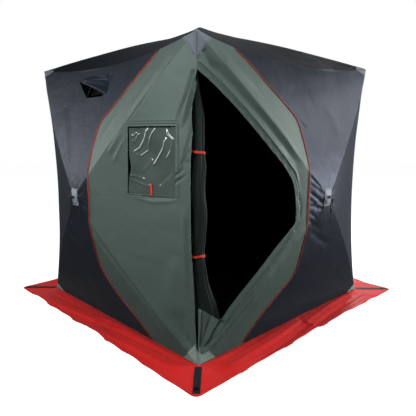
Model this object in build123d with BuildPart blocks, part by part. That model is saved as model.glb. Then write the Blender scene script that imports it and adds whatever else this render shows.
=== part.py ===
"""Pop-up ice fishing hut: a square fabric hut held up by bent rods that spring from a hub in each face.

Frame: +Z up, origin on the ground under the middle of the hut. The front wall looks along -Y and the
right wall along +X, and the doorway is in the right wall beside the corner that the two share.
Every soft layer is drawn between two depths under the outer surface. A depth is a scaling about the
middle of the hut, so neighbouring gores meet in flat mitred seams and all have the same thickness.
"""

import os
from math import atan, cos, hypot, radians, tan

from build123d import *

# ---- Driving dimensions, in millimetres ----
side = 1800.0  # length of each wall at the ground
corner_height = 1800.0  # height of the top corners
wall_hub_rise = 252.0  # how far a wall's hub stands out of the plane of its corners
roof_hub_rise = 290.0  # the same for the hub of the roof
pole_bow = 25.0  # outward bend of each crease at its middle
upright_sag = 60.0  # how far the edge between two walls is drawn in at its middle
eave_sag = 80.0  # the same for the edge between a wall and the roof
fabric = 3.0  # thickness of the fabric as modelled
film = 1.0  # thickness of the window film and the vent mesh
patch = 2.0  # thickness of the pieces sewn on the outside
clear = 0.3  # running gap between pieces that lie against each other
hub_hole = 24.0  # square hole that the gores leave at a hub

rod_diameter = 9.0
hub_diameter = 76.0
hub_thickness = 24.0
hub_drop = 17.0  # from the top of the creases down to the hub's outer side
bolt_diameter = 8.0
washer_diameter = 18.0
washer_thickness = 4.0
socket_diameter = 60.0  # moulded plug in each corner, which takes the ends of its rods
socket_length = 26.0
socket_depth = 41.0
bore_length = 70.0

wall_patch = (75.0, 110.0)  # reinforcement round the hub of a wall
roof_patch = (110.0, 110.0)
cap_star = (130.0, 55.0)  # reach along the edges and waist on the crease of a top corner's cap
foot_star = (145.0, 70.0)
piping_width = 9.0
piping_height = 6.0
binding_width = 46.0  # hem along the doorway
window_hem = 16.0
film_lap = 14.0  # how far the film and the mesh run past their openings
stitch = 3.0  # how far a hem stays back from the edge it follows

skirt_width = 214.0  # snow skirt that lies on the ground around the hut
skirt_corner = 50.0
strap_width = 40.0
eyelet_inset = 48.0
eyelet_hole = 12.0
eyelet_wall = 4.0
eyelet_flange = 28.0
eyelet_lip = 1.5
skirt_gap = 1.5  # between the skirt and the foot of the walls
strap_gap = 14.0  # from the foot of the corner to the strap
strap_end_gap = 8.0  # from the end of the strap to the rounded corner of the skirt

roll_diameter = 80.0  # the rolled-up door
roll_inset = 48.0  # how far the roll hangs inside the door corner, along each wall
tie_squeeze = 4.0  # how much a toggle's loop narrows the roll
tie_heights = (610.0, 1195.0)
tie_width = 12.0
tie_thickness = 3.0

loop_diameter = 26.0
loop_thickness = 3.0
loop_width = 12.0
cord_diameter = 6.0
knot_diameter = 12.0
knot_length = 14.0

half = side / 2
mid_height = corner_height / 2
centre = Vector(0, 0, mid_height)
facet_distance = (half + wall_hub_rise) * cos(atan(wall_hub_rise / half))
standing = (Align.CENTER, Align.CENTER, Align.MIN)

UP, DOWN, LEFT, RIGHT = "up", "down", "left", "right"
ALL = (UP, RIGHT, DOWN, LEFT)
gore_corners = {
    UP: ((-1, 1), (1, 1)),
    RIGHT: ((1, 1), (1, -1)),
    DOWN: ((1, -1), (-1, -1)),
    LEFT: ((-1, -1), (-1, 1)),
}
face_corners = ((-1, 1), (1, 1), (1, -1), (-1, -1))


class HubFace:
    """One of the five faces of the hut, with its local plane: x to the right, y up, z out."""

    def __init__(self, normal, across, rise, lower_sag, side_sag):
        reach = half if normal[2] == 0 else mid_height
        self.plane = Plane(origin=centre + Vector(*normal) * reach, x_dir=across, z_dir=normal)
        self.tall = mid_height if normal[2] == 0 else half
        self.rise = rise
        self.sags = {UP: eave_sag, DOWN: lower_sag, LEFT: side_sag, RIGHT: side_sag}

    def level(self, out):
        """The plane parallel to the face at a distance out of its corners."""
        return self.plane.offset(out)


front = HubFace((0, -1, 0), (1, 0, 0), wall_hub_rise, 0, upright_sag)
right = HubFace((1, 0, 0), (0, 1, 0), wall_hub_rise, 0, upright_sag)
back = HubFace((0, 1, 0), (-1, 0, 0), wall_hub_rise, 0, upright_sag)
left = HubFace((-1, 0, 0), (0, -1, 0), wall_hub_rise, 0, upright_sag)
roof = HubFace((0, 0, 1), (1, 0, 0), roof_hub_rise, eave_sag, eave_sag)
walls = {"front": front, "right": right, "back": back, "left": left}
faces = {**walls, "roof": roof}


# ---- Outlines on a wall, as distances from the door corner and heights over the ground ----
pattern_size = 1800.0  # side and corner height of the hut that the outlines are drawn for
wider, taller = side / pattern_size, corner_height / pattern_size


def on_front(points):
    """Places on the front wall, whose right-hand edge is the door corner."""
    return [(half - along * wider, height * taller - mid_height) for along, height in points]


def on_right(points):
    """Places on the right wall, whose left-hand edge is the door corner."""
    return [(along * wider - half, height * taller - mid_height) for along, height in points]


beyond = 80.0  # how far an outline runs past the edge of its wall
skirt_top = fabric + 2 * clear
panel_foot = (372, skirt_top + 10)
panel_head_front, panel_head_right = (308, pattern_size), (262, pattern_size)
front_panel_edge = [panel_head_front, (654, 1444), (746, 1387), (766, 1120), (755, 850), (776, 430), (518, 136)]
right_panel_edge = [panel_head_right, (512, 1573), (702, 1402), (722, 1290), (722, 850), (708, 412), (470, 186)]
pulled_edge = [(10, 1640), (83, 850), (22, 110)]  # the front panel's edge, drawn back from the corner
door_top = 1598.0
door_edge = [(38, door_top), (240, 1417), (588, 1045), (629, 900), (629, 762), (302, 432), (14, 94)]
door_corner_radius = 90.0
sill_edge = [(150, 266), (-beyond, 438), (-beyond, 0), (14, 94)]  # cloth left across the door's low corner
window_edge = [(165, 951), (143, 1335), (423, 1335), (454, 951)]
tab_edge = [(288, 950), (287, 1012), (309, 1012), (311, 950)]
vent_edge = [(840, 1565), (840, 1640), (1000, 1640), (1000, 1565)]
frame_splits = ([(560, 1040), (800, 1160)], [(600, 762), (800, 690)])


def area(points, margin=0.0):
    """The sketch inside an outline, grown by a margin."""
    with BuildSketch() as inside:
        with BuildLine():
            Polyline(*points, close=True)
        make_face()
        if margin:
            offset(amount=margin, kind=Kind.INTERSECTION)
    return inside.sketch


def band(points, width):
    """The sketch of a strip of the given width along a run of points."""
    with BuildSketch() as strip:
        with BuildLine():
            Polyline(*points)
        trace(line_width=width)
    return strip.sketch


# ---- Fabric ----
def sunk(point, depth):
    """The point moved towards the middle of the hut until it is depth under the surface."""
    return centre + (point - centre) * (1 - depth / facet_distance)


def crease_point(face, corner, share, depth=0.0):
    """A point on the crease that runs from a corner (share 0) to the hub (share 1)."""
    across = half + (hub_hole / 2 - half) * share
    along = face.tall + (hub_hole / 2 - face.tall) * share
    out = face.rise * share + 4 * pole_bow * share * (1 - share)
    local = Vector(corner[0] * across, corner[1] * along, out)
    return sunk(face.plane.from_local_coords(local), depth)


def gore_middle(face, gore, share):
    """The point of a gore halfway between its two creases, drawn in by the sag."""
    start, end = (crease_point(face, corner, share) for corner in gore_corners[gore])
    taut = (start + end) * 0.5
    return taut + (centre - taut).normalized() * face.sags[gore] * (1 - share) ** 2


def gore_section(face, gore, share, outer, inner, seam):
    """A cross-section of a gore, in a plane through the middle of the hut."""
    start, end = (crease_point(face, corner, share) for corner in gore_corners[gore])
    middle = gore_middle(face, gore, share)
    plane = Plane(origin=centre, x_dir=end - start, z_dir=(start - centre).cross(end - centre))
    a, m, b = (plane.to_local_coords(point) for point in (start, middle, end))
    a, b = a + Vector(seam / 2, 0), b - Vector(seam / 2, 0)
    top, bottom = (1 - depth / facet_distance for depth in (outer, inner))
    with BuildSketch(plane) as section:
        with BuildLine():
            if face.sags[gore] > 0 and share < 1:
                ThreePointArc(a * top, m * top, b * top)
                ThreePointArc(b * bottom, m * bottom, a * bottom)
            else:
                Line(a * top, b * top)
                Line(b * bottom, a * bottom)
            Line(b * top, b * bottom)
            Line(a * bottom, a * top)
        make_face()
    return section.sketch.face()


def gore_layer(face, gore, outer=0.0, inner=fabric, inside=None, seam=clear):
    """A gore between two depths, from its free edge to the hub, kept inside a sketch."""
    shares = (seam / half, 1 / 3, 2 / 3, 1.0)
    with BuildPart() as layer:
        loft([gore_section(face, gore, share, outer, inner, seam) for share in shares], ruled=True)
        if inside is not None:
            with BuildSketch(face.plane):
                add(inside)
            extrude(amount=2 * half, both=True, mode=Mode.INTERSECT)
    return layer.part


def gore_layers(face, gores=ALL, outer=0.0, inner=fabric, inside=None, seam=clear):
    """The same layer on several gores of a face, as solids that don't touch."""
    return [gore_layer(face, gore, outer, inner, inside, seam) for gore in gores]


def without(solids, face, *sketches):
    """The solids with sketches of their face cut through them."""
    with BuildPart() as cut:
        add(solids)
        with BuildSketch(face.plane):
            add(sketches)
        extrude(amount=2 * half, both=True, mode=Mode.SUBTRACT)
    return cut.part


def save(name, pieces):
    """Writes one named node from its solids."""
    with BuildPart() as node:
        add(pieces)
    node.part.label = name
    export_step(node.part, f"parts/{name}.step")


os.makedirs("parts", exist_ok=True)

# ---- Roof and plain walls ----
save("roof", gore_layers(roof))
save("back_wall", gore_layers(back))
save("left_wall", gore_layers(left))

# ---- Front wall: dark cloth, and the panel beside the doorway ----
far_corner = (-beyond, pattern_size + beyond)
far_front = (panel_head_front[0] - beyond, pattern_size + beyond)
far_right = (panel_head_right[0] - beyond, pattern_size + beyond)
foot_run = [(357, -beyond), (-beyond, -beyond)]
front_panel_area = area(on_front([far_corner, far_front, *front_panel_edge, panel_foot, *foot_run]))
front_seam = band(on_front([far_front, *front_panel_edge, panel_foot, foot_run[0]]), clear)
with BuildSketch() as pulled_back:
    with BuildLine():
        top_end, waist, low_end = on_front(pulled_edge)
        ThreePointArc(top_end, waist, low_end)
        Polyline(low_end, (half + beyond, low_end[1]), (half + beyond, top_end[1]), top_end)
    make_face()
window_area = area(on_front(window_edge))
vent_area = area(on_front(vent_edge))
save("front_wall", without(gore_layers(front), front, front_panel_area, front_seam, vent_area))
front_panel = gore_layers(front, (UP, RIGHT, DOWN), inside=front_panel_area)
save("front_panel", without(front_panel, front, window_area, pulled_back.sketch))

# ---- Right wall: dark cloth, and the frame of the doorway ----
right_panel_area = area(on_right([far_corner, far_right, *right_panel_edge, panel_foot, *foot_run]))
right_seam = band(on_right([far_right, *right_panel_edge, panel_foot, foot_run[0]]), clear)
splits = [band(on_right(line), clear) for line in frame_splits]
with BuildSketch() as door_shape:
    with BuildLine():
        Polyline(*on_right([(-beyond, door_top), *door_edge, (-beyond, 0)]), close=True)
    make_face()
    fillet(door_shape.vertices().sort_by(Axis.X)[-3:], door_corner_radius)
with BuildSketch() as doorway:
    add(door_shape.sketch)
    add(area(on_right(sill_edge)), mode=Mode.SUBTRACT)
save("right_wall", without(gore_layers(right), right, right_panel_area, right_seam))
door_frame = gore_layers(right, (UP, LEFT, DOWN), inside=right_panel_area)
save("door_frame", without(door_frame, right, doorway.sketch, *splits))


def star_outline(face, corner, reach, waist, foot=-beyond):
    """The outline of a corner's reinforcement on one face: an arm along each edge, and a waist."""
    x, y = corner
    star = ((-beyond, foot), (reach, foot), (waist, waist), (-beyond, reach))
    return area([(x * (half - along), y * (face.tall - up)) for along, up in star])


def corner_patch(face, corner, *star):
    """The reinforcement of a corner on one face, as the two pieces either side of the crease."""
    x, y = corner
    gores = ((UP if y > 0 else DOWN), (RIGHT if x > 0 else LEFT))
    return gore_layers(face, gores, -clear - patch, -clear, star_outline(face, corner, *star))


with BuildSketch() as hem:
    offset(door_shape.sketch, binding_width, kind=Kind.INTERSECTION)
    offset(door_shape.sketch, stitch, kind=Kind.INTERSECTION, mode=Mode.SUBTRACT)
door_binding = gore_layer(right, LEFT, -clear - patch, -clear, hem.sketch)
foot_clearance = star_outline(right, (-1, -1), foot_star[0] + 2 * stitch, foot_star[1] + stitch)
save("door_binding", without(door_binding, right, foot_clearance, *splits))

# ---- Window and vent ----
behind = fabric + clear
window_film = gore_layer(front, RIGHT, behind, behind + film, area(on_front(window_edge), film_lap))
save("window_film", window_film)
window_rim = gore_layer(front, RIGHT, -clear - patch, -clear, area(on_front(window_edge), window_hem))
save("window_rim", without(window_rim, front, window_area))
tab_depth = -2 * clear - 2 * patch
save("window_tab", gore_layer(front, RIGHT, tab_depth, tab_depth + patch, area(on_front(tab_edge))))
save("vent_mesh", gore_layer(front, UP, behind, behind + film, area(on_front(vent_edge), film_lap)))

hood_length = 175.0
mouth = (290.0, 120.0)  # width and height of the hood's mouth, and of its other end
tail = (190.0, 10.0)
mouth_lean, tail_lean = 40.0, 10.0  # how far the two ends lean up the slope
mouth_shift, tail_shift = -20.0, 40.0  # how far they lie off the middle of the wall
hood_cloth = 5.0
vent_shares = (0.289, 0.1)  # the gore's slope is taken between these shares, and the mouth is at the first
vent_foot, vent_head = (gore_middle(front, UP, share) for share in vent_shares)
vent_plane = Plane(
    origin=vent_foot, x_dir=front.plane.x_dir, z_dir=front.plane.x_dir.cross(vent_head - vent_foot)
)


def hood_section(along, shift, lean, size):
    """A triangle across the hood that stands on the facet, leaning up the slope."""
    width, height = size
    peak_line = vent_plane.y_dir * lean + vent_plane.z_dir * height
    plane = Plane(
        origin=vent_plane.from_local_coords((shift, along, 0)),
        x_dir=vent_plane.x_dir,
        z_dir=vent_plane.x_dir.cross(peak_line),
    )
    root = 30  # how far it starts under the surface, where it is cut off
    with BuildSketch(plane) as section:
        Polygon((-width / 2, -root), (width / 2, -root), (0, hypot(lean, height)), align=None)
    return section.sketch.face()


def inside_of(size):
    """The size of a triangle of the hood less its cloth."""
    return size[0] - 2.4 * hood_cloth, size[1] - hood_cloth


with BuildPart() as vent_hood:
    low_end = hood_section(0, mouth_shift, mouth_lean, mouth)
    high_end = hood_section(hood_length, tail_shift, tail_lean, tail)
    loft([low_end, high_end], ruled=True)
    low_void = hood_section(-hood_cloth, mouth_shift, mouth_lean, inside_of(mouth))
    high_void = hood_section(hood_length - hood_cloth, tail_shift, tail_lean, inside_of(tail))
    loft([low_void, high_void], ruled=True, mode=Mode.SUBTRACT)
    add(gore_layer(front, UP, -clear, mouth[1], seam=0), mode=Mode.SUBTRACT)
save("vent_hood", vent_hood.part)

# ---- Sewn trim ----
for name, face, gore, edge, on_wall in (
    ("front_piping", front, RIGHT, front_panel_edge, on_front),
    ("right_piping", right, LEFT, right_panel_edge, on_right),
):
    strip = band(on_wall([*edge, panel_foot]), piping_width)
    save(name, gore_layers(face, (UP, gore, DOWN), -clear - piping_height, -clear, strip, 2))

hub_patches = gore_layers(roof, ALL, -clear - patch, -clear, Rectangle(*roof_patch))
for face in walls.values():
    hub_patches += gore_layers(face, ALL, -clear - patch, -clear, Rectangle(*wall_patch))
save("hub_patches", hub_patches)

top_caps, foot_patches = [], []
for x in (-1, 1):
    for face in walls.values():
        top_caps += corner_patch(face, (x, 1), *cap_star)
        foot_patches += corner_patch(face, (x, -1), *foot_star, skirt_top)
    for y in (-1, 1):
        top_caps += corner_patch(roof, (x, y), *cap_star)
save("top_caps", top_caps)
save("foot_patches", foot_patches)


# ---- Rods, hubs and corner sockets ----
rod_run = ((0.012, 38), (0.5, 10.6), (0.985, 30))  # share of the crease, and depth under it


def rod_line(face, corner):
    """The centre line of a rod, bent outward against its crease from a socket to a hub."""
    return ThreePointArc(*[crease_point(face, corner, share, depth) for share, depth in rod_run])


def bore(line, end):
    """The straight hole that takes one end of a rod."""
    inward = (line % end) * (1 if end else -1)
    with BuildPart() as hole:
        with Locations(Plane(origin=line @ end + inward * clear, z_dir=inward * -1)):
            Cylinder(rod_diameter / 2 + clear, bore_length, align=standing)
    return hole.part


rod_lines = {name: [rod_line(face, corner) for corner in face_corners] for name, face in faces.items()}
for name, lines in rod_lines.items():
    rods = []
    for line in lines:
        with BuildPart() as bent_rod:
            with BuildSketch(Plane(origin=line @ 0, z_dir=line % 0)):
                Circle(rod_diameter / 2)
            sweep(path=line)
        rods.append(bent_rod.part)
    save(f"{name}_poles", rods)

washer_top = patch + 2 * clear + washer_thickness
hubs = []
for name, face in faces.items():
    with BuildPart() as hub:
        with BuildSketch(face.level(face.rise - hub_drop - hub_thickness)):
            RegularPolygon(hub_diameter / 2, 8, major_radius=False, rotation=22.5)
        extrude(amount=hub_thickness)
        with Locations(face.level(face.rise - hub_drop)):
            Cylinder(bolt_diameter / 2, hub_drop + washer_top, align=standing)
        with Locations(face.level(face.rise + washer_top - washer_thickness)):
            Cylinder(washer_diameter / 2, washer_thickness, align=standing)
        add([bore(line, 1) for line in rod_lines[name]], mode=Mode.SUBTRACT)
    hubs.append(hub.part)
save("hubs", hubs)

corner_sockets = []
for x in (-1, 1):
    for y in (-1, 1):
        for height in (0, corner_height):
            tip = sunk(Vector(x * half, y * half, height), socket_depth)
            lines = [line for each in rod_lines.values() for line in each]
            near = [line for line in lines if (line @ 0 - tip).length < socket_diameter]
            with BuildPart() as socket:
                with BuildSketch(Plane(origin=tip, z_dir=centre - tip)):
                    RegularPolygon(socket_diameter / 2, 6)
                extrude(amount=socket_length)
                add([bore(line, 0) for line in near], mode=Mode.SUBTRACT)
            corner_sockets.append(socket.part)
save("corner_sockets", corner_sockets)

# ---- Pull loops: on edge on the walls, and lying flat on the roof ----
loop_out = washer_top + clear + loop_diameter / 2


def loop_plane(face):
    """The plane in which the ring of a pull loop is drawn."""
    if face is roof:
        beside = (loop_diameter / 2, 0, face.rise + washer_top + clear)
        return Plane(origin=face.plane.from_local_coords(beside))
    place = face.plane.from_local_coords((-loop_width / 2, 0, face.rise + loop_out))
    return Plane(origin=place, x_dir=face.plane.y_dir, z_dir=face.plane.x_dir)


pull_loops = []
for face in faces.values():
    with BuildPart() as pull_loop:
        with BuildSketch(loop_plane(face)):
            Circle(loop_diameter / 2)
            Circle(loop_diameter / 2 - loop_thickness, mode=Mode.SUBTRACT)
        extrude(amount=loop_width)
    pull_loops.append(pull_loop.part)
save("pull_loops", pull_loops)

# ---- Pull cords: each hangs from a knot under its loop and ends in a knot ----
cord_routes = {
    "long": [(6, -8), (10, -58), (-4, -106), (-1, -152)],
    "short": [(-7, -8), (-13, -46), (-9, -82)],
}


def bend_radii(points):
    """As large an arc at each corner of a route as its two runs allow."""
    radii = []
    for before, corner, after in zip(points, points[1:], points[2:]):
        one, two = Vector(*before) - Vector(*corner), Vector(*after) - Vector(*corner)
        half_turn = (180 - one.get_angle(two)) / 2
        radii.append(0.45 * min(one.length, two.length) / tan(radians(half_turn)))
    return radii


for name, points in cord_routes.items():
    print(f"{name} cord radii:", [round(radius) for radius in bend_radii(points)])

for wall_name, face in walls.items():
    hang = Plane(
        origin=face.plane.from_local_coords((0, -loop_diameter / 2, face.rise + loop_out)),
        x_dir=face.plane.x_dir,
        z_dir=face.plane.z_dir,
    )
    for name, points in cord_routes.items():
        with BuildPart() as cord:
            with BuildLine(hang) as path:
                FilletPolyline(*points, radius=bend_radii(points))
            with BuildSketch(Plane(origin=path.line @ 0, z_dir=path.line % 0)):
                Circle(cord_diameter / 2)
            sweep()
            with Locations([Plane(origin=path.line @ t, z_dir=path.line % t) for t in (0, 1)]):
                Cylinder(knot_diameter / 2, knot_length)
        save(f"{wall_name}_cord_{name}", cord.part)

# ---- Snow skirt ----
skirt_inner = half + skirt_gap
skirt_outer = half + skirt_width
eyelet_place = (skirt_outer - eyelet_inset) * 2**0.5
with BuildPart() as snow_skirt:
    with BuildSketch():
        RectangleRounded(2 * skirt_outer, 2 * skirt_outer, skirt_corner)
        Rectangle(2 * skirt_inner, 2 * skirt_inner, mode=Mode.SUBTRACT)
        Rectangle(4 * skirt_outer, clear, rotation=45, mode=Mode.SUBTRACT)
        Rectangle(4 * skirt_outer, clear, rotation=-45, mode=Mode.SUBTRACT)
    extrude(amount=fabric)
    with PolarLocations(eyelet_place, 4, start_angle=45):
        Hole(eyelet_hole / 2 + eyelet_wall)
save("snow_skirt", snow_skirt.part)

strap_start = (half + strap_gap) * 2**0.5
strap_end = skirt_outer * 2**0.5 - skirt_corner * (2**0.5 - 1) - strap_end_gap
with BuildPart() as straps:
    with BuildSketch(Plane.XY.offset(skirt_top)):
        with PolarLocations((strap_start + strap_end) / 2, 4, start_angle=45):
            Rectangle(strap_end - strap_start, strap_width)
        with PolarLocations(eyelet_place, 4, start_angle=45):
            Circle(eyelet_hole / 2 + eyelet_wall, mode=Mode.SUBTRACT)
    extrude(amount=patch - clear)
save("skirt_straps", straps.part)

with BuildPart() as eyelets:
    with PolarLocations(eyelet_place, 4, start_angle=45):
        Cylinder(eyelet_hole / 2 + eyelet_wall - clear, skirt_top + patch, align=standing)
        with Locations((0, 0, skirt_top + patch)):
            Cylinder(eyelet_flange / 2, eyelet_lip, align=standing)
    with PolarLocations(eyelet_place, 4, start_angle=45):
        Hole(eyelet_hole / 2)
save("skirt_eyelets", eyelets.part)


# ---- Rolled door ----
def drawn_corner(height, inset):
    """A point a distance inside the drawn-in door corner, along each wall."""
    share = height * taller / mid_height - 1
    inset += upright_sag * (1 - share**2) / 2**0.5
    return Vector(half - inset, -half + inset, height * taller)


roll = roll_diameter / 2
tie = roll - tie_squeeze
low_tie, high_tie = tie_heights
roll_sections = (  # height, half widths across and along the right wall, shift along it, inset
    (300, 18, 66, 22, roll_inset),
    (450, 26, 46, 8, roll_inset),
    (low_tie, tie, tie, 0, roll_inset),
    ((low_tie + high_tie) / 2, roll, roll, 0, roll_inset),
    (high_tie, tie, tie, 0, roll_inset),
    (1450, 26, 26, 0, roll_inset - 8),
    (door_top + 12, 14, 14, 0, 8),  # sewn on behind the top of the doorway
)
with BuildPart() as rolled_door:
    for height, across, along, shift, inset in roll_sections:
        with BuildSketch(Plane(drawn_corner(height, inset) + Vector(0, shift, 0))):
            Ellipse(across, along)
    loft()
    add(gore_layer(front, RIGHT, -beyond, behind, seam=0), mode=Mode.SUBTRACT)
    add(gore_layer(right, LEFT, -beyond, behind, seam=0), mode=Mode.SUBTRACT)
save("rolled_door", rolled_door.part)

with BuildPart() as door_toggles:
    for height in tie_heights:
        with BuildSketch(Plane(drawn_corner(height, roll_inset))):
            Circle(tie + 2 * clear + tie_thickness)
            Circle(tie + 2 * clear, mode=Mode.SUBTRACT)
        extrude(amount=tie_width / 2, both=True)
save("door_toggles", door_toggles.part)
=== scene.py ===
"""Pop-up ice fishing hut: cloth, trim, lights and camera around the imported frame.

Metres, +Z up, origin on the ground under the middle of the hut. The front wall faces -Y, the right wall
faces +X, and the two meet at the door corner. Cloth is laid out flat in a wall's own coordinates, x across
and y up from the wall's middle, and then stretched over the bent rods. Lines on the front and right walls
are written in millimetres, along from the door corner and up from the ground.
"""

import math
from functools import partial

import bpy
import numpy as np
from mathutils import Euler, Matrix, Quaternion, Vector

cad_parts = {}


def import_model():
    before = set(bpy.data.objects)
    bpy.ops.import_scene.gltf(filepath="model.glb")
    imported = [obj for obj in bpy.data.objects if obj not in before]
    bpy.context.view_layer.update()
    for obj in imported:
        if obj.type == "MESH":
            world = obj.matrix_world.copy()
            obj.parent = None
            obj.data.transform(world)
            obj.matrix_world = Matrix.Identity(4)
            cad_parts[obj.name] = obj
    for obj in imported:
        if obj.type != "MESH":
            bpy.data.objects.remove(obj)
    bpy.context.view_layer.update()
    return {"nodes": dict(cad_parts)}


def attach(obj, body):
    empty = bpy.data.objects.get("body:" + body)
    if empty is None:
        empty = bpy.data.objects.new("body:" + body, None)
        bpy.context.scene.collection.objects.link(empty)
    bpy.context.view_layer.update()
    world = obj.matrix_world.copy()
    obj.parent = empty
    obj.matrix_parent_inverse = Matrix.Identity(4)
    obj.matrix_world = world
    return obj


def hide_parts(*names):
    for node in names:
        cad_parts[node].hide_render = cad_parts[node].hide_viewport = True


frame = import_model()

# ---- Sizes of the hut, in metres ----
HALF = 0.9  # half the side of the floor and half the corner height
WALL_RISE = 0.252  # how far a wall's hub stands out
ROOF_RISE = 0.290
HUB_BLUNT = 0.024  # how far from a hub its point is rounded off
ROD_BOW = 0.025  # outward bend of each rod at its middle
UPRIGHT_SAG = 0.060  # how far an edge is drawn in at its middle
EAVE_SAG = 0.080
CLOTH = 0.003
PATCH = 0.002
CORD = 0.006
HUB_PATCH = (0.0375, 0.055)  # half the width and height of the patch on a wall's hub
ROOF_PATCH = (0.055, 0.055)
PIPE = 0.0106  # thickness of the red piping
HEM = 0.034  # width of the doorway's hem
STRAP_WIDTH = 0.040
LOOP_OUT = HALF + 0.2719  # how far the middle of a wall's pull loop stands from the hut's middle
LOOP_FOOT = 0.013  # how far a pull loop reaches below its middle
ROOF_LOOP = (0.013, 0, 2.1029)
SKIRT_WIDTH = 0.214
SKIRT_OUT = HALF + SKIRT_WIDTH
SKIRT_ROUND = 0.036  # radius of the skirt's corners
PAST = 0.05  # how far an outline runs past the edge of a wall

# ---- Spacing of the points of a sheet ----
FINE_CELL = 0.006
CELL = 0.009
ROOF_CELL = 0.011
WIDE_CELL = 0.014
PATCH_CELL = 0.005
FILM_CELL = 0.0028
SKIRT_CELL = 0.010

# ---- Camera ----
CAMERA_PLACE = (2.554, -2.408, 1.264)
TURN, PITCH, ROLL = (math.radians(angle) for angle in (46.20, -9.16, -0.17))
camera_data = bpy.data.cameras.new("camera")
camera_data.sensor_width = 36.0
camera_data.lens = 36.94
camera = bpy.data.objects.new("camera", camera_data)
forward = Vector((-math.sin(TURN) * math.cos(PITCH), math.cos(TURN) * math.cos(PITCH), math.sin(PITCH)))
camera.location = CAMERA_PLACE
camera.rotation_mode = "QUATERNION"
camera.rotation_quaternion = forward.to_track_quat("-Z", "Y") @ Quaternion((0, 0, 1), ROLL)
bpy.context.collection.objects.link(camera)
bpy.context.scene.camera = camera
bpy.context.scene.view_settings.view_transform = "Standard"


# ---- Walls ----
class Wall:
    """A face of the hut with its axes across, up and out, the sag of its edges, its folds and its seams."""

    def __init__(self, across, up, rise=WALL_RISE, foot_sag=0.0, side_sag=UPRIGHT_SAG):
        self.across = np.array(across, float)
        self.up = np.array(up, float)
        self.out = np.cross(self.across, self.up)
        self.rise = rise
        self.foot_sag = foot_sag
        self.side_sag = side_sag
        self.folds = []
        self.seams = []


FRONT = Wall((1, 0, 0), (0, 0, 1))
RIGHT = Wall((0, 1, 0), (0, 0, 1))
BACK = Wall((-1, 0, 0), (0, 0, 1))
LEFT = Wall((0, -1, 0), (0, 0, 1))
ROOF = Wall((1, 0, 0), (0, 1, 0), ROOF_RISE, EAVE_SAG, EAVE_SAG)
UNFOLDED_FRONT = Wall((1, 0, 0), (0, 0, 1))
WALLS = {"front": FRONT, "right": RIGHT, "back": BACK, "left": LEFT}
MIDDLE = np.array((0.0, 0.0, HALF))


def smooth_step(low, high, value):
    """0 below low, 1 above high, and an even curve between."""
    t = np.clip((value - low) / (high - low), 0, 1)
    return t * t * (3 - 2 * t)


def bell(value, middle, width):
    """1 at the middle, falling away evenly on both sides."""
    return np.exp(-(((value - middle) / width) ** 2))


def place_on(wall, across, up, out):
    """World places from a wall's own coordinates and the distance out from the hut's middle."""
    parts = ((across, wall.across), (up, wall.up), (out, wall.out))
    return MIDDLE + sum(np.multiply.outer(distance, way) for distance, way in parts)


def stretched(wall, flat, proud=0.0):
    """World places of flat points (n, 2) of a wall, proud of the cloth's outer surface."""
    x, y = flat[:, 0], flat[:, 1]
    reach = np.maximum(np.maximum(np.abs(x), np.abs(y)), 1e-6)
    share = 1 - np.minimum(np.hypot(reach, HUB_BLUNT) / HALF, 1.0)  # 0 at the wall's edge, 1 at its hub
    out = wall.rise * share + 4 * ROD_BOW * share * (1 - share)
    upright = np.abs(y) >= np.abs(x)
    along = np.where(upright, x, y) / reach
    sag = np.where(upright, np.where(y > 0, EAVE_SAG, wall.foot_sag), wall.side_sag)
    drawn = sag * (1 - share) ** 2 * (1 - along**2)
    length = np.hypot(reach, HALF + out)
    inward = drawn * reach / length
    across = x - np.where(upright, 0, np.sign(x)) * inward
    up = y - np.where(upright, np.sign(y), 0) * inward
    out = out - drawn * (HALF + out) / length + proud
    if wall.folds:  # they die out at the wall's edges
        out = out + sum(fold(flat) for fold in wall.folds) * smooth_step(0, 0.012, share)
    return place_on(wall, across, up, HALF + out)


def on_front(*points):
    """Flat points of the front wall from distances to the door corner and heights, in millimetres."""
    return [(HALF - along / 1000, height / 1000 - HALF) for along, height in points]


def on_right(*points):
    """Flat points of the right wall from distances to the door corner and heights, in millimetres."""
    return [(along / 1000 - HALF, height / 1000 - HALF) for along, height in points]


# ---- Folds and seams ----
def beside(flat, line):
    """For flat points: how far along a line its nearest place is, the distance to its left, its length."""
    best = np.full(len(flat), np.inf)
    along, aside = np.zeros(len(flat)), np.zeros(len(flat))
    run = 0.0
    for start, end in zip(line, line[1:]):
        start, way = np.array(start, float), np.array(end, float) - np.array(start, float)
        length = np.hypot(*way)
        way = way / length
        offset = flat - start
        t = np.clip(offset @ way, 0, length)
        left = offset[:, 1] * way[0] - offset[:, 0] * way[1]
        gap = np.hypot(*(offset - np.outer(t, way)).T)
        nearer = gap < best
        along[nearer] = run + t[nearer]
        aside[nearer] = np.where(left[nearer] < 0, -gap[nearer], gap[nearer])
        best = np.minimum(best, gap)
        run += length
    return along, aside, run


def crease(line, width, height, left_flank=1.0, ends=(0.25, 0.25)):
    """A fold along a line, raised or, with a negative height, sunk.

    The left flank is wider or narrower by its factor, and the fold fades over a share of each end.
    """

    def shape(flat):
        along, aside, length = beside(flat, line)
        rise = height * bell(aside, 0, np.where(aside > 0, width * left_flank, width))
        for share, distance in zip(ends, (along, length - along)):
            if share:
                rise = rise * smooth_step(0, share * length, distance)
        return rise

    return shape


def puckers(line, spacing, reach, height, slant=0.6):
    """Small cross folds along a gathered seam."""

    def shape(flat):
        along, aside, length = beside(flat, line)
        wave = np.sin(2 * np.pi * (along + slant * aside) / spacing)
        wave = wave + 0.6 * np.sin(2 * np.pi * (along - 0.5 * slant * aside) / (spacing * 0.63) + 1.3)
        inside = smooth_step(0, spacing, along) * smooth_step(0, spacing, length - along)
        return height * wave * inside * bell(aside, 0, reach)

    return shape


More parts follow.
